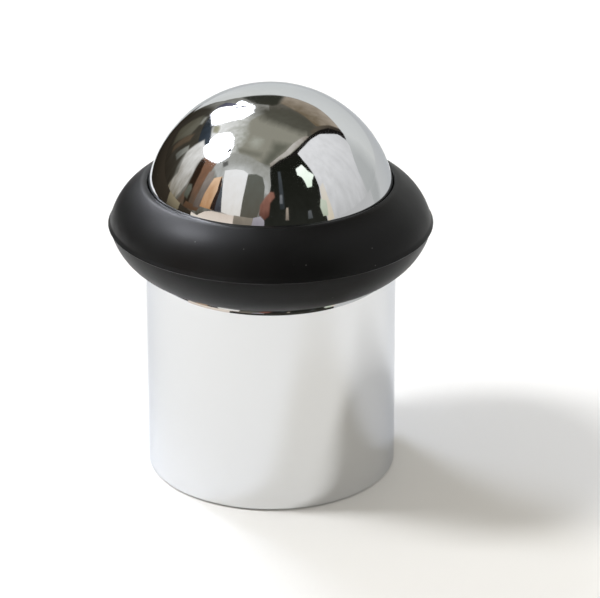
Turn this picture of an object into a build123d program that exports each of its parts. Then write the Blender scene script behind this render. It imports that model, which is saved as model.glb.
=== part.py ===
"""Dome door stop: a chrome-plated zinc casting with a black rubber buffer ring in its groove.

Millimetres, +Z up. The origin is the centre of the base, on the floor.
"""

import math
import os

from build123d import *

# Outside of the cast body
body_diameter = 30.0
barrel_height = 27.0  # floor to the shoulder under the ring
groove_width = 8.5  # shoulder to the lower edge of the dome
groove_depth = 3.0  # barrel wall to the root of the groove
dome_rise = 12.5  # lower edge of the dome to its crown
shoulder_round = 1.3
edge_break = 0.3  # at the foot of the barrel and the lower edge of the dome
groove_corner_break = 0.5

# Cored underside, open to the floor
rim_width = 3.0
roof_thickness = 4.0  # metal left between the cavity and the groove
boss_diameter = 15.0
boss_setback = 0.5  # boss and ribs end this far above the rim
rib_count = 4
rib_thickness = 2.0  # at the mouth of the cavity
core_draft = 1.0  # degrees, on every wall that the core leaves

# Tapped hole for an M8 stud
thread_core_diameter = 6.8
thread_mouth_diameter = 8.6
thread_mouth_angle = 90.0  # degrees
thread_hole_depth = 18.0

# Rubber ring
ring_projection = 4.2  # barrel wall to the outside of the ring
ring_height = 10.6  # lip to lip, so that the lips lap over both edges of the groove
flank_bulge = 0.7  # rise of each flank over its chord
lip_width = 0.2  # of the lower lip
lip_break = 0.1
seam_projection = 0.2  # moulding flash round the middle
seam_width = 0.4
foot_clearance = 0.1  # ring's foot in the groove
lip_clearance = 0.1  # ring's lips round the barrel and the dome

# Worked out from the sizes above
body_radius = body_diameter / 2
groove_radius = body_radius - groove_depth
groove_top = barrel_height + groove_width
body_height = groove_top + dome_rise
dome_centre = body_height - body_radius
cavity_radius = body_radius - rim_width
cavity_roof = barrel_height - roof_thickness
boss_radius = boss_diameter / 2
core_taper = (cavity_roof - boss_setback) * math.tan(math.radians(core_draft))
rib_angles = [(rib + 0.5) * 360 / rib_count for rib in range(rib_count)]
rib_start = boss_radius - rim_width / 2
rib_end = cavity_radius + rim_width / 2
ring_middle = barrel_height + groove_width / 2
ring_half = ring_height / 2
ring_radius = body_radius + ring_projection
foot_radius = groove_radius + foot_clearance
foot_half = groove_width / 2 - foot_clearance
lip_radius = body_radius + lip_clearance
lip_corner = lip_radius + lip_width
seam_half = seam_width / 2
seat_foot, seat_lip = [
    math.sqrt(lip_radius**2 - (ring_middle + height - dome_centre) ** 2)
    for height in (foot_half, ring_half)
]

hair = 0.001  # tolerance for picking corners by their place


def level(shapes, axis, height):
    """The shapes that lie at one height along an axis."""
    return shapes.filter_by_position(axis, height - hair, height + hair)


def outer_corner(section, height):
    """The corner of a section that lies furthest out at one height."""
    return level(section.vertices(), Axis.Y, height).sort_by(Axis.X)[-1]


# Body: a barrel that runs on into a dome of the same radius, with a groove between them
with BuildPart() as stop_body:
    with BuildSketch(Plane.XZ) as body_section:
        with BuildLine():
            Polyline((0, body_height), (0, 0), (body_radius, 0), (body_radius, dome_centre))
            RadiusArc((body_radius, dome_centre), (0, body_height), -body_radius)
        make_face()
        with Locations((groove_radius, barrel_height)):
            Rectangle(body_radius, groove_width, align=Align.MIN, mode=Mode.SUBTRACT)
        chamfer(level(body_section.vertices(), Axis.X, groove_radius), groove_corner_break)
        chamfer(outer_corner(body_section, 0), edge_break)
        chamfer(outer_corner(body_section, groove_top), edge_break)
        fillet(outer_corner(body_section, barrel_height), shoulder_round)
    revolve(axis=Axis.Z)

    # Setback of the boss and ribs, so that only the rim stands on the floor
    with BuildSketch():
        Circle(cavity_radius)
    extrude(amount=boss_setback, mode=Mode.SUBTRACT)

    # Cavity between rim and boss, narrowing towards its roof
    with BuildSketch(Plane.XZ):
        with BuildLine():
            Polyline(
                (boss_radius, boss_setback),
                (cavity_radius, boss_setback),
                (cavity_radius - core_taper, cavity_roof),
                (boss_radius + core_taper, cavity_roof),
                close=True,
            )
        make_face()
    revolve(axis=Axis.Z, mode=Mode.SUBTRACT)

    # Ribs from boss to rim, let into both and thinning towards the mouth
    rib_planes = [Plane.YZ.rotated((0, 0, angle)).offset(rib_start) for angle in rib_angles]
    with BuildSketch(*rib_planes):
        with BuildLine():
            Polyline(
                (-rib_thickness / 2, boss_setback),
                (rib_thickness / 2, boss_setback),
                (rib_thickness / 2 + core_taper, cavity_roof),
                (-rib_thickness / 2 - core_taper, cavity_roof),
                close=True,
            )
        make_face()
    extrude(amount=rib_end - rib_start)

    # Tapped hole, from the face of the boss upwards
    with Locations(Plane((0, 0, boss_setback), z_dir=(0, 0, -1))):
        CounterSinkHole(
            radius=thread_core_diameter / 2,
            counter_sink_radius=thread_mouth_diameter / 2,
            depth=thread_hole_depth,
            counter_sink_angle=thread_mouth_angle,
        )

stop_body.part.label = "stop_body"

# Ring: a foot that fills the groove, and a lens outside it with a seam round the middle.
# Its upper lip lies round the foot of the dome and its lower lip round the barrel.
with BuildPart() as buffer_ring:
    with BuildSketch(Plane.XZ.shift_origin((0, 0, ring_middle))) as ring_section:
        with BuildLine():
            Polyline((foot_radius, -foot_half), (foot_radius, foot_half), (seat_foot, foot_half))
            RadiusArc((seat_foot, foot_half), (seat_lip, ring_half), -lip_radius)
            Line((seat_lip, ring_half), (lip_corner, ring_half))
            SagittaArc((lip_corner, ring_half), (ring_radius, seam_half), flank_bulge)
            Polyline(
                (ring_radius, seam_half),
                (ring_radius + seam_projection, seam_half),
                (ring_radius + seam_projection, -seam_half),
                (ring_radius, -seam_half),
            )
            SagittaArc((ring_radius, -seam_half), (lip_corner, -ring_half), flank_bulge)
            Polyline(
                (lip_corner, -ring_half),
                (lip_radius, -ring_half),
                (lip_radius, -foot_half),
                (foot_radius, -foot_half),
            )
        make_face()
        chamfer(level(ring_section.vertices(), Axis.X, foot_radius), groove_corner_break)
        for height in (-ring_half, ring_half):
            inner_corner = level(ring_section.vertices(), Axis.Y, height).sort_by(Axis.X)[0]
            chamfer(inner_corner, lip_break)
    revolve(axis=Axis.Z)

buffer_ring.part.label = "buffer_ring"

os.makedirs("parts", exist_ok=True)
for piece in (stop_body, buffer_ring):
    export_step(piece.part, f"parts/{piece.part.label}.step")
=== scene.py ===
"""Looks of the dome door stop: a mirror-plated cast body and the black rubber ring in its groove.

Metres, +Z up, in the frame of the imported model. The viewer stands on the -Y side.
"""

import math

import bpy
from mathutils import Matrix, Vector, kdtree


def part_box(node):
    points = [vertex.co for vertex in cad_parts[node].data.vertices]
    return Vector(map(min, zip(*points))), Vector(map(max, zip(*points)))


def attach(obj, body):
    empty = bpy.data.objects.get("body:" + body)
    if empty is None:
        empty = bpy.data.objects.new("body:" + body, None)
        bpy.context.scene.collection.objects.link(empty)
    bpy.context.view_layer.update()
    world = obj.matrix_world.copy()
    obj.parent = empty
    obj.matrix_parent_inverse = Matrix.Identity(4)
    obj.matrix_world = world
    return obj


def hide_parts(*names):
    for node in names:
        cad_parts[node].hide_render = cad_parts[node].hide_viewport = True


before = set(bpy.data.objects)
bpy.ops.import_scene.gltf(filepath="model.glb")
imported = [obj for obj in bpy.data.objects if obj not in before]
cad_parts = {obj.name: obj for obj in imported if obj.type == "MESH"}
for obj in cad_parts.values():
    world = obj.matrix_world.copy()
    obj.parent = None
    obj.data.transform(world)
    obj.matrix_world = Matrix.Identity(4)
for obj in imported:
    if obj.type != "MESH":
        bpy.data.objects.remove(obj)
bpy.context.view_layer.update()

MM = 0.001

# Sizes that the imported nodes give
_, body_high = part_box("stop_body")
ring_low, ring_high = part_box("buffer_ring")
BODY_RADIUS = body_high.x
BODY_HEIGHT = body_high.z
RING_MIDDLE = (ring_low.z + ring_high.z) / 2
RING_HALF = (ring_high.z - ring_low.z) / 2
SEAM_RADIUS = ring_high.x

# Outside of the body
BARREL_HEIGHT = 27.0 * MM
GROOVE_WIDTH = 8.5 * MM
GROOVE_DEPTH = 3.0 * MM
SHOULDER_ROUND = 1.3 * MM
EDGE_BREAK = 0.3 * MM
GROOVE_CORNER_BREAK = 0.5 * MM

# Cored underside
RIM_WIDTH = 3.0 * MM
ROOF_THICKNESS = 4.0 * MM
BOSS_RADIUS = 7.5 * MM
BOSS_SETBACK = 0.5 * MM
RIB_COUNT = 4
RIB_THICKNESS = 2.0 * MM
CORE_DRAFT = math.radians(1.0)
THREAD_CORE_RADIUS = 3.4 * MM
THREAD_ROOT_RADIUS = 4.0 * MM
THREAD_MOUTH_RADIUS = 4.3 * MM
THREAD_PITCH = 1.25 * MM
THREAD_TURNS = 12
THREAD_FLANK = 0.44 * THREAD_PITCH  # height of each flank
THREAD_CREST = 0.06 * THREAD_PITCH
DRILL_DEPTH = 18.0 * MM

# Rubber ring
FLANK_BULGE = 0.7 * MM
LIP_WIDTH = 0.2 * MM
LIP_BREAK = 0.1 * MM
LIP_ROUND_DROP = 0.17 * MM  # the round of the upper lip starts this far below its top
SEAM_PROJECTION = 0.2 * MM
SEAM_WIDTH = 0.4 * MM
RIDGE_RISE = 0.45 * MM  # the upper flank starts to slope out to the seam this far above it
FIT_CLEARANCE = 0.1 * MM
RING_LEAN = math.radians(2.4)  # the ring's outer part sits higher at the front

# How meshes are divided and joined
TURN_STEPS = 256
ARC_STEP = math.radians(1.5)
ARC_STEPS_LEAST = 4
THREAD_STEPS = 48
BITE = 0.05 * MM  # solids that are united reach this far into each other
HOLD = 0.12 * MM  # rows kept this close to a corner, so that long walls reflect as straight ones
LONG_STRETCH = 4 * HOLD  # only a longer stretch gets such rows
WELD = 0.002 * MM  # points closer than this become one
CREASE = math.radians(30)  # an edge that turns more than this stays sharp

# Worked out from the sizes above
GROOVE_RADIUS = BODY_RADIUS - GROOVE_DEPTH
GROOVE_TOP = BARREL_HEIGHT + GROOVE_WIDTH
DOME_CENTRE = BODY_HEIGHT - BODY_RADIUS
DOME_EDGE_ANGLE = math.acos((GROOVE_TOP - DOME_CENTRE) / BODY_RADIUS)
CAVITY_RADIUS = BODY_RADIUS - RIM_WIDTH
CAVITY_ROOF = BARREL_HEIGHT - ROOF_THICKNESS
CORE_TAPER = (CAVITY_ROOF - BOSS_SETBACK) * math.tan(CORE_DRAFT)
THREAD_START = BOSS_SETBACK + THREAD_MOUTH_RADIUS - THREAD_ROOT_RADIUS
THREAD_END = THREAD_START + THREAD_PITCH * (THREAD_TURNS + 1)
FOOT_RADIUS = GROOVE_RADIUS + FIT_CLEARANCE
FOOT_HALF = GROOVE_WIDTH / 2 - FIT_CLEARANCE
LIP_RADIUS = BODY_RADIUS + FIT_CLEARANCE
LIP_CORNER = LIP_RADIUS + LIP_WIDTH
FLANK_RADIUS = SEAM_RADIUS - SEAM_PROJECTION

# Camera, at the viewing angle of the photograph
CAMERA_LENS = 265.12  # focal length in millimetres, on a sensor of the next width
CAMERA_SENSOR = 36.0
CAMERA_PLACE = (0, -480.44 * MM, 249.09 * MM)
CAMERA_CLIP = (0.01, 10.0)
LOOK_DOWN = math.radians(25.4045)
LOOK_RIGHT = math.radians(0.4163)

# Sockets of a Mix node that mixes colours
MIX_SHARE = 0
MIX_FIRST = 6
MIX_SECOND = 7
MIX_RESULT = 2

# Most values of a noise texture lie between these
NOISE_LOW = 0.3
NOISE_HIGH = 0.7


def linear(colour):
    """A hex colour of the screen as linear red, green, blue and alpha."""
    parts = [int(colour[k : k + 2], 16) / 255 for k in (1, 3, 5)]
    return (*[p / 12.92 if p <= 0.04045 else ((p + 0.055) / 1.055) ** 2.4 for p in parts], 1.0)


def add_node(tree, kind, links=None, **settings):
    """A new node with its settings. Links gives each socket a value, or another node's output."""
    node = tree.nodes.new(kind)
    for name, value in settings.items():
        setattr(node, name, value)
    for socket, value in (links or {}).items():
        if isinstance(value, bpy.types.NodeSocket):
            tree.links.new(value, node.inputs[socket])
        else:
            node.inputs[socket].default_value = value
    return node


def new_material(name):
    """An empty material and its node tree."""
    material = bpy.data.materials.new(name)
    material.use_nodes = True
    material.node_tree.nodes.clear()
    return material, material.node_tree


def chrome_plate():
    """Bright chrome over polished zinc: a clear mirror with slow waves from the polishing wheel."""
    material, tree = new_material("chrome_plate_over_polished_zinc")
    place = add_node(tree, "ShaderNodeTexCoord").outputs["Object"]
    wave_length = 7.0 * MM
    wave_height = 0.006 * MM
    waves = add_node(
        tree,
        "ShaderNodeTexNoise",
        {"Vector": place, "Scale": 1 / wave_length, "Detail": 1.0, "Roughness": 0.4},
    )
    bump = add_node(
        tree, "ShaderNodeBump", {"Height": waves.outputs["Fac"], "Strength": 1.0, "Distance": wave_height}
    )
    haze_size = 3.0 * MM
    clear_roughness = 0.03
    hazy_roughness = 0.06
    haze = add_node(tree, "ShaderNodeTexNoise", {"Vector": place, "Scale": 1 / haze_size, "Detail": 4.0})
    roughness = add_node(
        tree,
        "ShaderNodeMapRange",
        {
            "Value": haze.outputs["Fac"],
            "From Min": NOISE_LOW,
            "From Max": NOISE_HIGH,
            "To Min": clear_roughness,
            "To Max": hazy_roughness,
        },
    )
    shader = add_node(
        tree,
        "ShaderNodeBsdfPrincipled",
        {
            "Base Color": linear("#DCDDDE"),
            "Metallic": 1.0,
            "Specular Tint": linear("#E4E6EA"),
            "Roughness": roughness.outputs["Result"],
            "Normal": bump.outputs["Normal"],
        },
    )
    add_node(tree, "ShaderNodeOutputMaterial", {"Surface": shader.outputs["BSDF"]})
    return material


def cast_zinc():
    """Zinc as it left the die: dull grey with a fine grain, which the plating hardly reached."""
    material, tree = new_material("zinc_die_cast")
    place = add_node(tree, "ShaderNodeTexCoord").outputs["Object"]
    grain_size = 0.6 * MM
    grain_depth = 0.02 * MM
    grain = add_node(tree, "ShaderNodeTexNoise", {"Vector": place, "Scale": 1 / grain_size, "Detail": 3.0})
    tone = add_node(
        tree,
        "ShaderNodeMix",
        {MIX_SHARE: grain.outputs["Fac"], MIX_FIRST: linear("#8F9193"), MIX_SECOND: linear("#A9ABAD")},
        data_type="RGBA",
    )
    bump = add_node(
        tree, "ShaderNodeBump", {"Height": grain.outputs["Fac"], "Strength": 1.0, "Distance": grain_depth}
    )
    shader = add_node(
        tree,
        "ShaderNodeBsdfPrincipled",
        {
            "Base Color": tone.outputs[MIX_RESULT],
            "Metallic": 1.0,
            "Roughness": 0.45,
            "Normal": bump.outputs["Normal"],
        },
    )
    add_node(tree, "ShaderNodeOutputMaterial", {"Surface": shader.outputs["BSDF"]})
    return material


def black_rubber():
    """Moulded black rubber: satin, with a faint mould grain and a few pale specks of dust."""
    material, tree = new_material("black_rubber_moulded")
    place = add_node(tree, "ShaderNodeTexCoord").outputs["Object"]
    cloud_size = 5.0 * MM
    clouds = add_node(tree, "ShaderNodeTexNoise", {"Vector": place, "Scale": 1 / cloud_size, "Detail": 4.0})
    tone = add_node(
        tree,
        "ShaderNodeMix",
        {MIX_SHARE: clouds.outputs["Fac"], MIX_FIRST: linear("#0B0B0C"), MIX_SECOND: linear("#111111")},
        data_type="RGBA",
    )
    speck_spacing = 1.9 * MM
    speck_reach = 0.1 * MM
    speck_core = 0.04 * MM
    speck_cover = 0.5
    specks = add_node(tree, "ShaderNodeTexVoronoi", {"Vector": place, "Scale": 1 / speck_spacing})
    dust = add_node(
        tree,
        "ShaderNodeMapRange",
        {
            "Value": specks.outputs["Distance"],
            "From Min": speck_core / speck_spacing,
            "From Max": speck_reach / speck_spacing,
            "To Min": speck_cover,
            "To Max": 0.0,
        },
    )
    dusty = add_node(
        tree,
        "ShaderNodeMix",
        {
            MIX_SHARE: dust.outputs["Result"],
            MIX_FIRST: tone.outputs[MIX_RESULT],
            MIX_SECOND: linear("#6F6E6B"),
        },
        data_type="RGBA",
    )
    grain_size = 0.35 * MM
    grain_depth = 0.006 * MM
    grain = add_node(tree, "ShaderNodeTexNoise", {"Vector": place, "Scale": 1 / grain_size, "Detail": 2.0})
    bump = add_node(
        tree, "ShaderNodeBump", {"Height": grain.outputs["Fac"], "Strength": 1.0, "Distance": grain_depth}
    )
    satin_roughness = 0.38
    dull_roughness = 0.46
    satin = add_node(
        tree,
        "ShaderNodeMapRange",
        {
            "Value": clouds.outputs["Fac"],
            "From Min": NOISE_LOW,
            "From Max": NOISE_HIGH,
            "To Min": satin_roughness,
            "To Max": dull_roughness,
        },
    )
    shader = add_node(
        tree,
        "ShaderNodeBsdfPrincipled",
        {
            "Base Color": dusty.outputs[MIX_RESULT],
            "Roughness": satin.outputs["Result"],
            "Specular IOR Level": 0.16,
            "Normal": bump.outputs["Normal"],
        },
    )
    add_node(tree, "ShaderNodeOutputMaterial", {"Surface": shader.outputs["BSDF"]})
    return material


def start_profile(name, radius, height):
    """A new object in edit mode with one vertex, the first of a half section in the XZ plane."""
    bpy.ops.object.select_all(action="DESELECT")
    bpy.ops.mesh.primitive_plane_add(size=MM)
    piece = bpy.context.object
    piece.name = name
    bpy.ops.object.mode_set(mode="EDIT")
    bpy.ops.mesh.select_mode(type="VERT")
    bpy.ops.mesh.merge(type="CENTER")
    bpy.ops.transform.translate(value=(radius, 0, height))
    return piece


def line_to(here, there):
    """Draws the section straight on, with a row close to each end of a long stretch."""
    way = Vector((there[0] - here[0], 0, there[1] - here[1]))
    stops = [0.0, 1.0]
    if way.length > LONG_STRETCH:
        share = HOLD / way.length
        stops = [0.0, share, 1 - share, 1.0]
    for before, after in zip(stops, stops[1:]):
        bpy.ops.mesh.extrude_vertices_move(TRANSFORM_OT_translate={"value": way * (after - before)})
    return there


def arc_to(here, there, centre):
    """Draws the section on along an arc about a centre, by the shorter way."""
    first = Vector((here[0] - centre[0], here[1] - centre[1]))
    last = Vector((there[0] - centre[0], there[1] - centre[1]))
    angle = last.angle_signed(first)
    bpy.ops.mesh.spin(
        steps=max(ARC_STEPS_LEAST, math.ceil(abs(angle) / ARC_STEP)),
        angle=angle,
        center=(centre[0], 0, centre[1]),
        axis=(0, 1, 0),
    )
    return there


def turn_profile(piece):
    """Turns the finished half section about the axis and closes the skin."""
    bpy.ops.mesh.select_all(action="SELECT")
    bpy.ops.mesh.spin(steps=TURN_STEPS, angle=math.tau, center=(0, 0, 0), axis=(0, 0, 1))
    bpy.ops.mesh.select_all(action="SELECT")
    bpy.ops.mesh.remove_doubles(threshold=WELD)
    bpy.ops.mesh.normals_make_consistent(inside=False)
    bpy.ops.object.mode_set(mode="OBJECT")
    bpy.ops.object.shade_smooth_by_angle(angle=CREASE)
    return piece


def model_body():
    """The body: dome, groove, barrel, and the cored underside with its boss and tapped hole."""
    here = (0, BODY_HEIGHT)
    piece = start_profile("mirror_body", *here)
    arc_end = DOME_EDGE_ANGLE - EDGE_BREAK / BODY_RADIUS
    dome_edge = (BODY_RADIUS * math.sin(arc_end), DOME_CENTRE + BODY_RADIUS * math.cos(arc_end))
    here = arc_to(here, dome_edge, (0, DOME_CENTRE))
    for there in (
        (BODY_RADIUS * math.sin(DOME_EDGE_ANGLE) - EDGE_BREAK, GROOVE_TOP),
        (GROOVE_RADIUS + GROOVE_CORNER_BREAK, GROOVE_TOP),
        (GROOVE_RADIUS, GROOVE_TOP - GROOVE_CORNER_BREAK),
        (GROOVE_RADIUS, BARREL_HEIGHT + GROOVE_CORNER_BREAK),
        (GROOVE_RADIUS + GROOVE_CORNER_BREAK, BARREL_HEIGHT),
        (BODY_RADIUS - SHOULDER_ROUND, BARREL_HEIGHT),
    ):
        here = line_to(here, there)
    shoulder = (BODY_RADIUS - SHOULDER_ROUND, BARREL_HEIGHT - SHOULDER_ROUND)
    here = arc_to(here, (BODY_RADIUS, BARREL_HEIGHT - SHOULDER_ROUND), shoulder)
    for there in (
        (BODY_RADIUS, EDGE_BREAK),
        (BODY_RADIUS - EDGE_BREAK, 0),
        (CAVITY_RADIUS, 0),
        (CAVITY_RADIUS, BOSS_SETBACK),
        (CAVITY_RADIUS - CORE_TAPER, CAVITY_ROOF),
        (BOSS_RADIUS + CORE_TAPER, CAVITY_ROOF),
        (BOSS_RADIUS, BOSS_SETBACK),
        (THREAD_MOUTH_RADIUS, BOSS_SETBACK),
        (THREAD_ROOT_RADIUS, THREAD_START),
        (THREAD_ROOT_RADIUS, THREAD_END),
        (THREAD_CORE_RADIUS, THREAD_END + THREAD_ROOT_RADIUS - THREAD_CORE_RADIUS),
        (THREAD_CORE_RADIUS, BOSS_SETBACK + DRILL_DEPTH),
        (0, BOSS_SETBACK + DRILL_DEPTH),
    ):
        here = line_to(here, there)
    return turn_profile(piece)


def model_rib(rib):
    """One rib between boss and rim, let into both and into the roof, thicker towards the roof."""
    bpy.ops.object.select_all(action="DESELECT")
    bpy.ops.mesh.primitive_cube_add(size=1)
    piece = bpy.context.object
    length = CAVITY_RADIUS - BOSS_RADIUS + RIM_WIDTH
    low, high = BOSS_SETBACK + BITE, CAVITY_ROOF + BITE
    spread = 1 + 2 * (high - low) * math.tan(CORE_DRAFT) / RIB_THICKNESS
    for vertex in piece.data.vertices:
        vertex.select = vertex.co.z > 0
    bpy.ops.object.mode_set(mode="EDIT")
    bpy.ops.mesh.select_mode(type="VERT")
    bpy.ops.transform.resize(value=(1, spread, 1), center_override=(0, 0, 0))
    bpy.ops.mesh.select_all(action="SELECT")
    bpy.ops.transform.resize(value=(length, RIB_THICKNESS, high - low), center_override=(0, 0, 0))
    bpy.ops.transform.translate(value=((CAVITY_RADIUS + BOSS_RADIUS) / 2, 0, (high + low) / 2))
    turn = math.tau * (rib + 0.5) / RIB_COUNT
    bpy.ops.transform.rotate(value=-turn, orient_axis="Z", center_override=(0, 0, 0))
    bpy.ops.object.mode_set(mode="OBJECT")
    return piece


def model_thread():
    """The ridge of the thread, a section with two flanks and a narrow crest, run up the hole as a screw."""
    here = (THREAD_ROOT_RADIUS + BITE, THREAD_START)
    piece = start_profile("thread_ridge", *here)
    for there in (
        (THREAD_CORE_RADIUS, THREAD_START + THREAD_FLANK),
        (THREAD_CORE_RADIUS, THREAD_START + THREAD_FLANK + THREAD_CREST),
        (THREAD_ROOT_RADIUS + BITE, THREAD_START + 2 * THREAD_FLANK + THREAD_CREST),
        here,
    ):
        way = Vector((there[0] - here[0], 0, there[1] - here[1]))
        bpy.ops.mesh.extrude_vertices_move(TRANSFORM_OT_translate={"value": way})
        here = there
    bpy.ops.mesh.select_all(action="SELECT")
    bpy.ops.mesh.remove_doubles(threshold=WELD)
    bpy.ops.object.mode_set(mode="OBJECT")
    screw = piece.modifiers.new("screw", "SCREW")
    screw.screw_offset = THREAD_PITCH
    screw.iterations = THREAD_TURNS - 1
    screw.steps = screw.render_steps = THREAD_STEPS
    bpy.ops.object.modifier_apply(modifier=screw.name)
    bpy.ops.object.mode_set(mode="EDIT")
    bpy.ops.mesh.select_all(action="SELECT")
    bpy.ops.mesh.fill_holes(sides=4)
    bpy.ops.mesh.normals_make_consistent(inside=False)
    bpy.ops.object.mode_set(mode="OBJECT")
    return piece


def unite(piece, others):
    """Makes one solid of a piece and the others."""
    for other in others:
        union = piece.modifiers.new("union", "BOOLEAN")
        union.operation = "UNION"
        union.solver = "EXACT"
        union.object = other
        bpy.ops.object.select_all(action="DESELECT")
        bpy.context.view_layer.objects.active = piece
        bpy.ops.object.modifier_apply(modifier=union.name)
        other.select_set(True)
        bpy.ops.object.delete()
    bpy.ops.object.select_all(action="DESELECT")
    piece.select_set(True)
    bpy.context.view_layer.objects.active = piece
    bpy.ops.object.shade_smooth_by_angle(angle=CREASE)


def paint_underside(piece, slot):
    """Gives the faces that the core left, and the tapped hole, their own material slot."""
    slack = 0.02 * MM
    for face in piece.data.polygons:
        place = face.center
        inside = math.hypot(place.x, place.y) < CAVITY_RADIUS + slack
        if inside and place.z < CAVITY_ROOF + slack:
            face.material_index = slot


def flank_centre(lip, seam):
    """Centre of the arc that bulges outwards between a lip and the seam."""
    chord = Vector((seam[0] - lip[0], seam[1] - lip[1]))
    radius = (chord.length**2 / 4 + FLANK_BULGE**2) / (2 * FLANK_BULGE)
    middle = Vector(((lip[0] + seam[0]) / 2, (lip[1] + seam[1]) / 2))
    outward = Vector((abs(chord.y), abs(chord.x) * math.copysign(1, lip[1] - RING_MIDDLE))).normalized()
    return middle - outward * (radius - FLANK_BULGE)


def flank_point(seam, centre, height):
    """The point at a height on a flank's arc."""
    reach = math.hypot(seam[0] - centre.x, seam[1] - centre.y)
    return centre.x + math.sqrt(reach**2 - (height - centre.y) ** 2), height


def lip_centre(lip_top, flank_top, centre):
    """Centre of the round that runs on from the top of a flank's arc to the top of the lip."""
    outward = Vector((flank_top[0] - centre.x, flank_top[1] - centre.y)).normalized()
    chord = Vector((lip_top[0] - flank_top[0], lip_top[1] - flank_top[1]))
    radius = -chord.length_squared / (2 * chord.dot(outward))
    return Vector(flank_top) - outward * radius


def seat(height):
    """The point at a height on the ball that the ring's upper lip follows, just clear of the dome."""
    return math.sqrt(LIP_RADIUS**2 - (height - DOME_CENTRE) ** 2), height


def model_ring():
    """The ring: a foot in the groove, thin lips, two bulged flanks and the mould seam between them."""
    here = (FOOT_RADIUS, RING_MIDDLE)
    piece = start_profile("rubber_ring", *here)
    top_lip = (LIP_CORNER, RING_MIDDLE + RING_HALF)
    top_seam = (FLANK_RADIUS, RING_MIDDLE + SEAM_WIDTH / 2)
    low_seam = (FLANK_RADIUS, RING_MIDDLE - SEAM_WIDTH / 2)
    low_lip = (LIP_CORNER, RING_MIDDLE - RING_HALF)
    for there in (
        (FOOT_RADIUS, RING_MIDDLE + FOOT_HALF - GROOVE_CORNER_BREAK),
        (FOOT_RADIUS + GROOVE_CORNER_BREAK, RING_MIDDLE + FOOT_HALF),
        seat(RING_MIDDLE + FOOT_HALF),
    ):
        here = line_to(here, there)
    seat_end = seat(RING_MIDDLE + RING_HALF - LIP_BREAK)
    here = arc_to(here, seat_end, (0, DOME_CENTRE))
    here = line_to(here, (seat_end[0] + LIP_BREAK, RING_MIDDLE + RING_HALF))
    top_centre = flank_centre(top_lip, top_seam)
    flank_top = flank_point(top_seam, top_centre, RING_MIDDLE + RING_HALF - LIP_ROUND_DROP)
    here = arc_to(here, flank_top, lip_centre(here, flank_top, top_centre))
    ridge_foot = flank_point(top_seam, top_centre, RING_MIDDLE + RIDGE_RISE)
    here = arc_to(here, ridge_foot, top_centre)
    here = line_to(here, (SEAM_RADIUS, RING_MIDDLE))
    here = line_to(here, low_seam)
    here = arc_to(here, low_lip, flank_centre(low_lip, low_seam))
    for there in (
        (LIP_RADIUS + LIP_BREAK, RING_MIDDLE - RING_HALF),
        (LIP_RADIUS, RING_MIDDLE - RING_HALF + LIP_BREAK),
        (LIP_RADIUS, RING_MIDDLE - FOOT_HALF),
        (FOOT_RADIUS + GROOVE_CORNER_BREAK, RING_MIDDLE - FOOT_HALF),
        (FOOT_RADIUS, RING_MIDDLE - FOOT_HALF + GROOVE_CORNER_BREAK),
        (FOOT_RADIUS, RING_MIDDLE),
    ):
        here = line_to(here, there)
    return turn_profile(piece)


def lean_ring(piece):
    """Lifts the front of the ring's outer part and drops its back. Its foot stays level in the groove."""
    slack = 0.01 * MM
    for vertex in piece.data.vertices:
        place = vertex.co
        radius = math.hypot(place.x, place.y)
        if radius < LIP_RADIUS + slack and abs(place.z - RING_MIDDLE) < FOOT_HALF + slack:
            continue
        on_seat = place.z > RING_MIDDLE and abs(radius - seat(place.z)[0]) < slack
        place.z -= place.y * math.tan(RING_LEAN)
        if on_seat:
            follow = seat(place.z)[0] / radius
            place.x *= follow
            place.y *= follow


def put_camera():
    """The camera at the viewing angle of the photograph."""
    camera = bpy.data.objects.new("camera", bpy.data.cameras.new("camera"))
    bpy.context.scene.collection.objects.link(camera)
    camera.data.lens = CAMERA_LENS
    camera.data.sensor_width = CAMERA_SENSOR
    camera.data.clip_start, camera.data.clip_end = CAMERA_CLIP
    camera.location = CAMERA_PLACE
    camera.rotation_euler = (math.pi / 2 - LOOK_DOWN, 0, -LOOK_RIGHT)
    bpy.context.scene.camera = camera


# Studio round the object. Directions are in degrees: azimuth, from the viewer's side to the right, and
# elevation.
EYE = Vector((0, 0, DOME_CENTRE))  # the cards stand round the middle of the dome
CARD_DISTANCE = 1.5
CARD_STEP = 0.01  # each card stands this much nearer than the one before it
NEAR_DISTANCE = 0.11
NEAR_STEP = 0.001
LEVEL_STEP = 6.0  # degrees between corners along a level edge
CARD_CUTS = 9  # cuts along each edge of a card, so that it can be bent round the object
CARD_LEVEL = 1.35  # makes up for what the metal swallows
EDGE_WANDER = 0.15  # how far a soft edge strays, as a share of its softness
SOFT_FROM = 1.0  # degrees; an edge less soft than this is cut clean
STREAK_WIDTH = 0.08
STREAK_STRETCH = 4.0  # length of a streak over its width
STREAK_SHARE = 0.8  # how far a card's two colours run into each other
LAMP_DISTANCE = 1.2
FILL_LEVEL = 0.53
FILL_COLOUR = "#FFFAF0"
FLOOR_SIZE = 8.0
FLOOR_CLEAR = (0.12, 0.35)  # over these distances the floor passes into the plain white background

# Name, azimuth, elevation, half its width and height in degrees, share of the floor's light, and colour
SOFTBOXES = [
    ("tall_softbox", -94.5, 47.5, 5.5, 10.0, 0.48, "#FDFDFD"),
    ("wide_softbox", -142.0, 37.5, 6.5, 11.0, 0.23, "#E4EDFF"),
]

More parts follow.
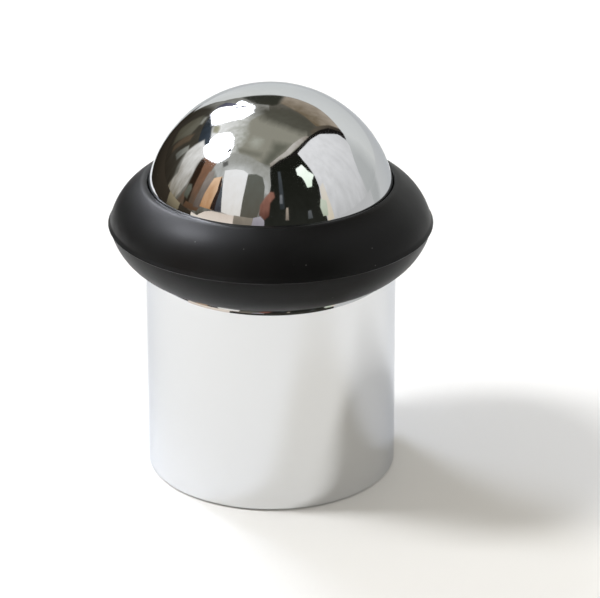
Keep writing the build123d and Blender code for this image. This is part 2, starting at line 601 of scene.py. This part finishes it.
# Name, colour at the foot, colour at the head, level of the glow, softness of the edge in degrees, and
# corners by azimuth and elevation. Later cards stand in front of earlier ones.
STUDIO_CARDS = [
    ("top_card", "#8A887C", "#8A887C", 1, 0, [(turn, 50) for turn in range(-180, 180, 15)]),
    (
        "backing_left", "#4A463C", "#A0A09A", 1, 0,
        [(-181, -3), (-150, -3), (-120, -3), (-90, -3), (-60, -3),
         (-60, 60), (-90, 66), (-120, 68), (-150, 64), (-181, 58)],
    ),
    (
        "backing_front", "#3A3833", "#A5A5A0", 1, 0,
        [(-61, -3), (-30, -3), (0, -3), (30, -3), (60, -3),
         (60, 58), (30, 62), (0, 62), (-30, 64), (-61, 62)],
    ),
    (
        "backing_right", "#8C8478", "#55534C", 1, 0,
        [(59, -3), (90, -3), (120, -3), (150, -3), (181, -3),
         (181, 58), (150, 58), (120, 60), (90, 62), (59, 62)],
    ),
    (
        "top_card_dark", "#45433A", "#54534A", 1, 8,
        [(-168, 46), (-157, 58), (-156, 69), (-175, 77), (150, 78), (118, 75),
         (102, 66), (108, 55), (122, 46), (140, 45), (160, 47), (178, 48)],
    ),
    (
        "glow_card", "#FFFFFF", "#A0A197", 1, 5,
        [(-160, 50), (-159, 60), (-140, 69), (-112, 75), (-88, 73), (-70, 63), (-67, 50),
         (-90, 43), (-120, 39), (-140, 39)],
    ),
    (
        "top_card_light", "#A7A89D", "#A2A398", 1, 7,
        [(-115, 76), (-85, 71), (-58, 71), (-30, 76), (-40, 85), (-90, 86)],
    ),
    (
        "top_card_dim", "#595A51", "#626257", 1, 6,
        [(-24, 59), (0, 57), (20, 66), (50, 70), (84, 71), (78, 80), (35, 89), (-12, 79)],
    ),
    (
        "bounce_front", "#B4B5B3", "#91918A", 1, 2,
        [(-80, 40), (-60, 33), (-30, 40), (0, 33), (1, 58), (-25, 66), (-55, 68), (-78, 60)],
    ),
    (
        "bounce_glow", "#D2D3D1", "#B0B1AE", 1, 5,
        [(-66, 42), (-30, 40), (-22, 54), (-32, 60), (-50, 59), (-64, 52)],
    ),
    (
        "top_card_strip", "#6F6E62", "#78776C", 1, 3,
        [(-94, 64), (-80, 66), (-50, 73), (-18, 75), (-16, 67), (-48, 65), (-74, 61)],
    ),
    (
        "sweep_left", "#DCDDDA", "#CED0CC", 1, 0.3,
        [(176, -3), (-163, -3), (-161.5, 8), (-162, 20), (-166, 26), (-171, 29), (-176, 30.5), (176, 31)],
    ),
    (
        "sweep_right", "#CBCCC9", "#CDCFCE", 1, 0.3,
        [(98, -3), (120, -3), (150, -3), (180, -3), (180, 31), (155, 31), (128, 30), (100, 28)],
    ),
    ("sweep_back", "#D3D5D2", "#CED0CD", 1, 6, [(168, -12), (-168, -12), (-172, 33), (170, 34)]),
    ("sweep_shade", "#ACAEAD", "#AEB0AF", 1, 14, [(86, -12), (136, -12), (132, 34), (86, 34)]),
    (
        "dark_flag_back", "#2A2B25", "#35352D", 1, 1.5,
        [(172.5, 31), (181, 31), (-174, 30), (-166, 27), (-166.5, 37), (-168, 45), (-175, 49),
         (178, 51), (173, 49)],
    ),
    (
        "beige_strip", "#A3988A", "#685C4A", 1, 1.2,
        [(132, 29.5), (155, 30.5), (173, 31), (173.5, 46), (160, 51), (145, 52), (129, 51), (130, 40)],
    ),
    (
        "olive_card", "#8F8D78", "#A9A793", 1, 1.5,
        [(-134, 40), (-124, 42), (-119, 48), (-128, 48), (-133, 46)],
    ),
    (
        "bright_card_back", "#F3F6FF", "#F3F6FF", 32, 8,
        [(-137.5, 33), (-147, 26), (-155, 26), (-157, 35), (-165, 32), (-166, 42), (-169, 48), (-161, 57),
         (-148, 58), (-139, 52), (-134.5, 45), (-134, 38)],
    ),
    (
        "bright_card_left", "#F3F6FF", "#F3F6FF", 32, 8,
        [(-109, 37), (-98, 37.5), (-90, 38.5), (-83, 41), (-76, 47), (-75, 55), (-86, 61), (-104, 63),
         (-119, 58), (-120, 48), (-114, 41)],
    ),
    (
        "back_fleck", "#2E2E34", "#3C3C42", 1, 0,
        [(-154.5, 40), (-158, 38.5), (-162, 42), (-165, 46.5), (-161, 45.5), (-157.5, 42.5)],
    ),
    (
        "low_fleck", "#4A4A58", "#70707F", 1, 0,
        [(-160, 25), (-155, 23), (-156.5, 32), (-158.5, 39), (-160.5, 36)],
    ),
    ("high_fleck", "#464644", "#52524F", 1, 0, [(-88, 56), (-82, 55), (-81, 58.5), (-87, 59)]),
    ("left_fleck", "#4E4E4C", "#5A5A56", 1, 1.2, [(-75, 48), (-68, 45), (-64, 50), (-70, 53)]),
    (
        "dark_flag_left", "#2B261F", "#45423A", 1, 1,
        [(-163, -3), (-140, -3), (-111, -3), (-111, 10), (-118, 22), (-118, 37),
         (-107, 43), (-122, 42), (-135, 38), (-150, 28), (-156, 23), (-160, 12)],
    ),
    (
        "slate_band", "#24282B", "#39424C", 1, 1,
        [(-150, 27), (-136, 30), (-120, 32), (-109, 40), (-111, 43.5), (-120, 43), (-134, 39)],
    ),
    (
        "olive_strip", "#4A4639", "#68665A", 1, 2.5,
        [(-153, 2), (-141, 4), (-132, 22), (-142, 27), (-151, 21)],
    ),
    (
        "bark_strip", "#4A3F33", "#5E5142", 1, 2,
        [(-140, 6), (-134, 6), (-127, 24), (-133, 27), (-137, 18)],
    ),
    ("pale_fleck", "#6E6E64", "#96968D", 1, 1.2, [(-149, 22), (-141, 24), (-139, 28), (-147, 27)]),
    ("grey_streak", "#55554F", "#8A8A83", 1, 1.2, [(-129, 11), (-121, 13), (-118, 25), (-124, 25)]),
    (
        "pale_strip_left", "#675E4A", "#DEDDDA", 1, 1,
        [(-116, -2), (-101, -2), (-95, 8), (-92, 16), (-92.5, 24), (-96, 31), (-97, 39),
         (-120, 38), (-120, 23), (-111, 13)],
    ),
    (
        "brown_strip", "#433F36", "#84604B", 1, 1.2,
        [(-100, -2), (-76, 1), (-75, 20), (-76, 36), (-79, 45), (-88, 42.5), (-98, 39), (-95.5, 30),
         (-92, 23), (-91.5, 15), (-95, 7)],
    ),
    (
        "umber_strip", "#2A231B", "#2A1D14", 1, 1,
        [(-88, 2), (-82, 2), (-82.5, 12), (-84, 22), (-86, 30), (-92, 38), (-99, 36), (-93, 23),
         (-90.5, 12)],
    ),
    ("moss_strip", "#4F5147", "#666960", 1, 1.5, [(-92, 8), (-85, 8), (-84, 17), (-87, 20), (-91, 18)]),
    ("rust_slant", "#4C3A2C", "#5E4735", 1, 0.8, [(-88, 2), (-72, 5), (-70, 9), (-86, 7)]),
    (
        "grey_strip", "#584E47", "#928982", 1, 1,
        [(-77.5, 6), (-69, 8), (-67, 30), (-73, 40), (-79, 36), (-76, 20)],
    ),
    (
        "tan_strip", "#A57A52", "#E0BE9E", 1, 0.8,
        [(-70, 10), (-56, 12), (-54.5, 30), (-61, 40), (-68.5, 35)],
    ),
    (
        "umber_edge", "#241A16", "#3A2E28", 1, 0.6,
        [(-59, 12), (-52, 12), (-54, 26), (-58.5, 37), (-62, 40), (-58, 28)],
    ),
    (
        "slate_strip", "#3C3B40", "#545B60", 1, 0.6,
        [(-54, 12), (-45.5, 13), (-48, 24), (-53, 34), (-58, 38), (-55, 28)],
    ),
    (
        "pale_card_front", "#D8D4CE", "#E8E8E8", 1, 0.4,
        [(-47, 13), (-28, 12), (-28.7, 30), (-30, 41), (-32, 51.5), (-40, 53), (-51, 51), (-63, 45),
         (-57, 37), (-51, 26)],
    ),
    (
        "cream_card", "#E0D6CA", "#D0C2B6", 1, 0.4,
        [(-73, -1), (-58, -2), (-34, -1), (-34, 13), (-46, 12.5), (-57, 11), (-63, 8.5), (-69, 4)],
    ),
    (
        "grey_card", "#56534A", "#5E6059", 1, 0.6,
        [(-28.5, 13), (-13, 14), (-10, 24), (-7, 31), (-7, 43), (-11, 51), (-20, 53), (-32, 51),
         (-29.5, 40)],
    ),
    ("grey_step", "#5E5850", "#877F73", 1, 0.4, [(-34.5, -2), (-14, -2), (-14, 13.5), (-34.5, 13.5)]),
    ("lilac_card", "#827E86", "#A29EA4", 1, 0.8, [(-18, 3), (-8, 2), (-5, 11), (-9, 16), (-16, 14)]),
    (
        "dark_flag_front", "#252622", "#171813", 1, 0.4,
        [(-5, -2), (25, -2), (56, -2), (54, 10), (54, 20), (57, 31), (59, 42), (60, 57),
         (62, 65), (45, 68), (22, 66), (-0.5, 60), (-0.8, 53), (0.4, 44), (-1, 37), (-6, 26), (-6, 12)],
    ),
    (
        "rust_card", "#4A2E27", "#956A5C", 1, 1,
        [(-6, 12), (-11.5, 17), (-11, 26), (-6.5, 33), (-1, 38.5), (4, 38), (5, 33), (0, 28), (-1, 16)],
    ),
    ("slate_card", "#2C3032", "#44484B", 1, 0.8, [(9, 22), (13.5, 22), (15, 56), (11, 56)]),
    ("grey_fleck", "#63666A", "#74777A", 1, 0.5, [(9, 27), (12, 27), (12.5, 35), (10, 35)]),
    ("beige_card", "#7C7268", "#A5998B", 1, 0.4, [(13.5, 12), (16.5, 12), (17, 23), (15, 23)]),
    ("dim_fleck", "#4A4D4E", "#5C5F60", 1, 0.8, [(34.5, 10), (39, 10), (38.5, 17), (35.5, 17)]),
    (
        "green_card", "#DCEAD8", "#F6FCF4", 1.1, 0.8,
        [(39, 54.5), (51, 55.5), (53, 48), (57, 43), (51, 40), (47.5, 35.5), (42, 36), (42, 42),
         (41, 46), (37, 49)],
    ),
    (
        "flag_rim_pale", "#7E7468", "#BCB8B2", 1, 0.6,
        [(-1, 60), (20, 67), (42, 68), (76, 68), (104, 62), (109, 60),
         (109, 63), (104, 66), (76, 72.5), (42, 72), (20, 70), (-1, 64)],
    ),
    (
        "flag_rim_dim", "#2A2521", "#5A5348", 1, 1,
        [(108, 58), (116, 52), (121, 44), (123, 29), (128, 28.5), (134.5, 29.5), (135, 38),
         (131, 48), (121, 58)],
    ),
    (
        "flag_rim", "#171513", "#1B1917", 1, 0.3,
        [(-0.8, 58), (20, 64), (45, 65), (60.6, 64), (84, 63), (103, 59), (117.5, 50.5), (121.5, 43),
         (125, 34), (124, 28.5), (131, 29), (130, 41), (123.7, 50.3), (104, 62.2), (76, 67.3),
         (41.5, 67.2), (20, 66.5), (-0.8, 60.5)],
    ),
    (
        "round_reflector", "#B4B4B4", "#DEDEDF", 1, 0.2,
        [(53, -3), (75, -3), (103, -3), (102.5, 6), (104.5, 17), (110, 23), (117, 26), (121, 27),
         (124.5, 29), (126, 34.7), (122, 43), (117.5, 51.2), (103, 59.6), (84, 63.7), (70, 65),
         (60.6, 64.7), (58, 57.5), (57.4, 49), (56.8, 42), (54.8, 32.7), (51, 22)],
    ),
    (
        "beige_edge", "#CBC1AE", "#D6D0C6", 1, 0.8,
        [(53, 2), (59.5, 2), (59, 22), (61, 34), (55, 32), (52, 22)],
    ),
    ("green_edge", "#A9B29F", "#C9D0C0", 1, 0.8, [(49, 9), (54, 8), (56, 20), (51, 23.5), (48, 17)]),
]


def level_edge(start, stop, elevation):
    """Corners along one elevation, close enough together to keep the edge level."""
    steps = math.ceil(abs(stop - start) / LEVEL_STEP)
    return [(start + (stop - start) * step / steps, elevation) for step in range(steps + 1)]


# Low cards that stand close by, where the white floor ends
NEAR_CARDS = [
    (
        "low_flag_left", "#231F19", "#352F27", 1, 0.8,
        [(-163, 4), (-160, -13), (-154, -13), (-144, -11.7), (-136, -10), (-129, -8.5), (-117, -7),
         *level_edge(-104, -73, -4.5), *level_edge(-73, -157, 4.5)],
    ),
    (
        "low_strip_left", "#4A4436", "#877D67", 1, 0.8,
        [*level_edge(-104, -89, -4.5), *level_edge(-87, -103, 4.5)],
    ),
    (
        "low_card_cream", "#D0C4B8", "#E0D6CA", 1, 0.3,
        [*level_edge(-73, -34, -12.5), *level_edge(-34, -73, 4.5)],
    ),
    (
        "low_flag_front", "#23211D", "#3A3833", 1, 0.3,
        [*level_edge(-34, 53, -12.5), *level_edge(53, -34, 4)],
    ),
    (
        "low_card_right", "#C0C1C0", "#BFC0BF", 1, 0,
        [*level_edge(100, 197, -16.5), *level_edge(197, 100, 5.5)],
    ),
    (
        "low_shade_right", "#A8AAA9", "#A8AAA9", 1, 6,
        [(98, -16), (112, -14), (117, -4), (121, 10), (98, 10)],
    ),
    (
        "low_card_reflector", "#BBBCBB", "#B4B4B4", 1, 0,
        [*level_edge(53, 104, -12.5), (102.5, -3), *level_edge(102, 53, 5.5)],
    ),
]


def toward(azimuth, elevation):
    """The unit direction of an azimuth and an elevation in degrees."""
    turn, rise = math.radians(azimuth), math.radians(elevation)
    return Vector((math.sin(turn) * math.cos(rise), -math.cos(turn) * math.cos(rise), math.sin(rise)))


def cut_card(distance, name, soft, corners):
    """A card bent round the object, with a fade value that falls to nothing along a soft edge."""
    bpy.ops.object.select_all(action="DESELECT")
    bpy.ops.mesh.primitive_circle_add(vertices=len(corners), fill_type="NGON")
    card = bpy.context.object
    card.name = name
    for vertex, corner in zip(card.data.vertices, corners):
        vertex.co = EYE + distance * toward(*corner)
    bpy.ops.object.mode_set(mode="EDIT")
    bpy.ops.mesh.quads_convert_to_tris()
    bpy.ops.mesh.subdivide(number_cuts=CARD_CUTS)
    bpy.ops.transform.vertex_random(offset=distance * math.radians(EDGE_WANDER * soft), seed=len(corners))
    bpy.ops.mesh.region_to_loop()
    bpy.ops.object.mode_set(mode="OBJECT")
    for vertex in card.data.vertices:
        vertex.co = EYE + distance * (vertex.co - EYE).normalized()
    border = [vertex.co for vertex in card.data.vertices if vertex.select]
    nearest = kdtree.KDTree(len(border))
    for number, edge_point in enumerate(border):
        nearest.insert(edge_point, number)
    nearest.balance()
    fade_width = distance * math.radians(soft)
    fade = card.data.attributes.new("fade", "FLOAT", "POINT")
    for vertex, share in zip(card.data.vertices, fade.data):
        if soft < SOFT_FROM:
            share.value = 1.0
            continue
        _, _, inset = nearest.find(vertex.co)
        share.value = min(1.0, inset / fade_width)
    return card


def card_paint(name, foot_colour, head_colour, level, foot, head):
    """Glowing card paint: streaked, and shaded from the card's foot to its head."""
    material, tree = new_material(name + "_paint")
    place = add_node(tree, "ShaderNodeTexCoord").outputs["Object"]
    height = add_node(tree, "ShaderNodeSeparateXYZ", {"Vector": place}).outputs["Z"]
    rise = add_node(tree, "ShaderNodeMapRange", {"Value": height, "From Min": foot, "From Max": head})
    drawn = add_node(tree, "ShaderNodeMapping", {"Vector": place, "Scale": (1, 1, 1 / STREAK_STRETCH)})
    streaks = add_node(
        tree,
        "ShaderNodeTexNoise",
        {"Vector": drawn.outputs["Vector"], "Scale": 1 / STREAK_WIDTH, "Detail": 3.0},
    )
    lift = add_node(tree, "ShaderNodeMath", {0: streaks.outputs["Fac"], 1: 0.5}, operation="SUBTRACT")
    blend = add_node(
        tree,
        "ShaderNodeMath",
        {0: lift.outputs[0], 1: STREAK_SHARE, 2: rise.outputs["Result"]},
        operation="MULTIPLY_ADD",
    )
    colour = add_node(
        tree,
        "ShaderNodeMix",
        {MIX_SHARE: blend.outputs[0], MIX_FIRST: linear(foot_colour), MIX_SECOND: linear(head_colour)},
        data_type="RGBA",
    )
    glow = add_node(
        tree, "ShaderNodeEmission", {"Color": colour.outputs[MIX_RESULT], "Strength": CARD_LEVEL * level}
    )
    shown = add_node(tree, "ShaderNodeAttribute", attribute_name="fade")
    clear = add_node(tree, "ShaderNodeBsdfTransparent")
    mix = add_node(
        tree,
        "ShaderNodeMixShader",
        {0: shown.outputs["Fac"], 1: clear.outputs["BSDF"], 2: glow.outputs["Emission"]},
    )
    add_node(tree, "ShaderNodeOutputMaterial", {"Surface": mix.outputs["Shader"]})
    return material


def hang_card(distance, name, foot_colour, head_colour, level, soft, corners):
    """A studio card that only polished surfaces see."""
    card = cut_card(distance, name, soft, corners)
    heights = [vertex.co.z for vertex in card.data.vertices]
    paint = card_paint(name, foot_colour, head_colour, level, min(heights), max(heights))
    card.data.materials.append(paint)
    card.visible_camera = False
    card.visible_diffuse = False
    card.visible_shadow = False


def hang_lamp(name, azimuth, elevation, half_width, half_height, share, colour):
    """A softbox of an angular size that gives the floor its share of the light."""
    way = toward(azimuth, elevation)
    bpy.ops.object.light_add(type="AREA", location=EYE + LAMP_DISTANCE * way)
    lamp = bpy.context.object
    lamp.name = name
    lamp.rotation_euler = way.to_track_quat("Z", "Y").to_euler()
    lamp.data.shape = "RECTANGLE"
    lamp.data.size = 2 * LAMP_DISTANCE * math.tan(math.radians(half_width))
    lamp.data.size_y = 2 * LAMP_DISTANCE * math.tan(math.radians(half_height))
    lamp.data.energy = share * (math.pi * LAMP_DISTANCE) ** 2 / way.z
    lamp.data.color = linear(colour)[:3]
    lamp.visible_camera = False
    lamp.visible_glossy = False


def light_studio():
    """Two softboxes on the left, a soft fill all round, and a plain white background."""
    for softbox in SOFTBOXES:
        hang_lamp(*softbox)
    world = bpy.data.worlds.new("studio")
    bpy.context.scene.world = world
    world.use_nodes = True
    tree = world.node_tree
    tree.nodes.clear()
    rays = add_node(tree, "ShaderNodeLightPath").outputs
    seen = add_node(
        tree, "ShaderNodeMath", {0: rays["Is Camera Ray"], 1: rays["Is Glossy Ray"]}, operation="ADD"
    )
    shown = add_node(
        tree,
        "ShaderNodeMath",
        {0: seen.outputs[0], 1: rays["Is Transmission Ray"]},
        operation="ADD",
        use_clamp=True,
    )
    fill = add_node(tree, "ShaderNodeBackground", {"Color": linear(FILL_COLOUR), "Strength": FILL_LEVEL})
    white = add_node(tree, "ShaderNodeBackground", {"Color": (1, 1, 1, 1), "Strength": 1.0})
    mix = add_node(
        tree,
        "ShaderNodeMixShader",
        {0: shown.outputs[0], 1: fill.outputs["Background"], 2: white.outputs["Background"]},
    )
    add_node(tree, "ShaderNodeOutputWorld", {"Surface": mix.outputs["Shader"]})


def lay_floor():
    """A matte white floor that keeps the shadow near the object and is plain white further off."""
    bpy.ops.object.select_all(action="DESELECT")
    bpy.ops.mesh.primitive_plane_add(size=FLOOR_SIZE)
    floor = bpy.context.object
    floor.name = "floor"
    material, tree = new_material("matte_white_board")
    place = add_node(tree, "ShaderNodeTexCoord").outputs["Object"]
    distance = add_node(tree, "ShaderNodeVectorMath", {0: place}, operation="LENGTH")
    share = add_node(
        tree,
        "ShaderNodeMapRange",
        {"Value": distance.outputs["Value"], "From Min": FLOOR_CLEAR[0], "From Max": FLOOR_CLEAR[1]},
        interpolation_type="SMOOTHSTEP",
    )
    rays = add_node(tree, "ShaderNodeLightPath").outputs
    seen = add_node(
        tree,
        "ShaderNodeMath",
        {0: rays["Is Camera Ray"], 1: rays["Is Glossy Ray"]},
        operation="ADD",
        use_clamp=True,
    )
    clear = add_node(
        tree, "ShaderNodeMath", {0: seen.outputs[0], 1: share.outputs["Result"]}, operation="MULTIPLY"
    )
    paint = add_node(
        tree,
        "ShaderNodeBsdfPrincipled",
        {"Base Color": linear("#FAFAF9"), "Roughness": 0.8, "Specular IOR Level": 0.1},
    )
    white = add_node(tree, "ShaderNodeEmission", {"Color": (1, 1, 1, 1), "Strength": 1.0})
    mix = add_node(
        tree,
        "ShaderNodeMixShader",
        {0: clear.outputs[0], 1: paint.outputs["BSDF"], 2: white.outputs["Emission"]},
    )
    add_node(tree, "ShaderNodeOutputMaterial", {"Surface": mix.outputs["Shader"]})
    floor.data.materials.append(material)


put_camera()
chrome = chrome_plate()
zinc = cast_zinc()
rubber = black_rubber()

body = model_body()
unite(body, [model_rib(rib) for rib in range(RIB_COUNT)] + [model_thread()])
body.data.materials.append(chrome)
body.data.materials.append(zinc)
paint_underside(body, body.data.materials.find(zinc.name))
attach(body, "root")
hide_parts("stop_body")

ring = model_ring()
lean_ring(ring)
ring.data.materials.append(rubber)
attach(ring, "root")
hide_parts("buffer_ring")

lay_floor()
light_studio()
for row, card in enumerate(STUDIO_CARDS):
    hang_card(CARD_DISTANCE - CARD_STEP * row, *card)
for row, card in enumerate(NEAR_CARDS):
    hang_card(NEAR_DISTANCE - NEAR_STEP * row, *card)

bpy.context.scene.view_settings.view_transform = "Standard"
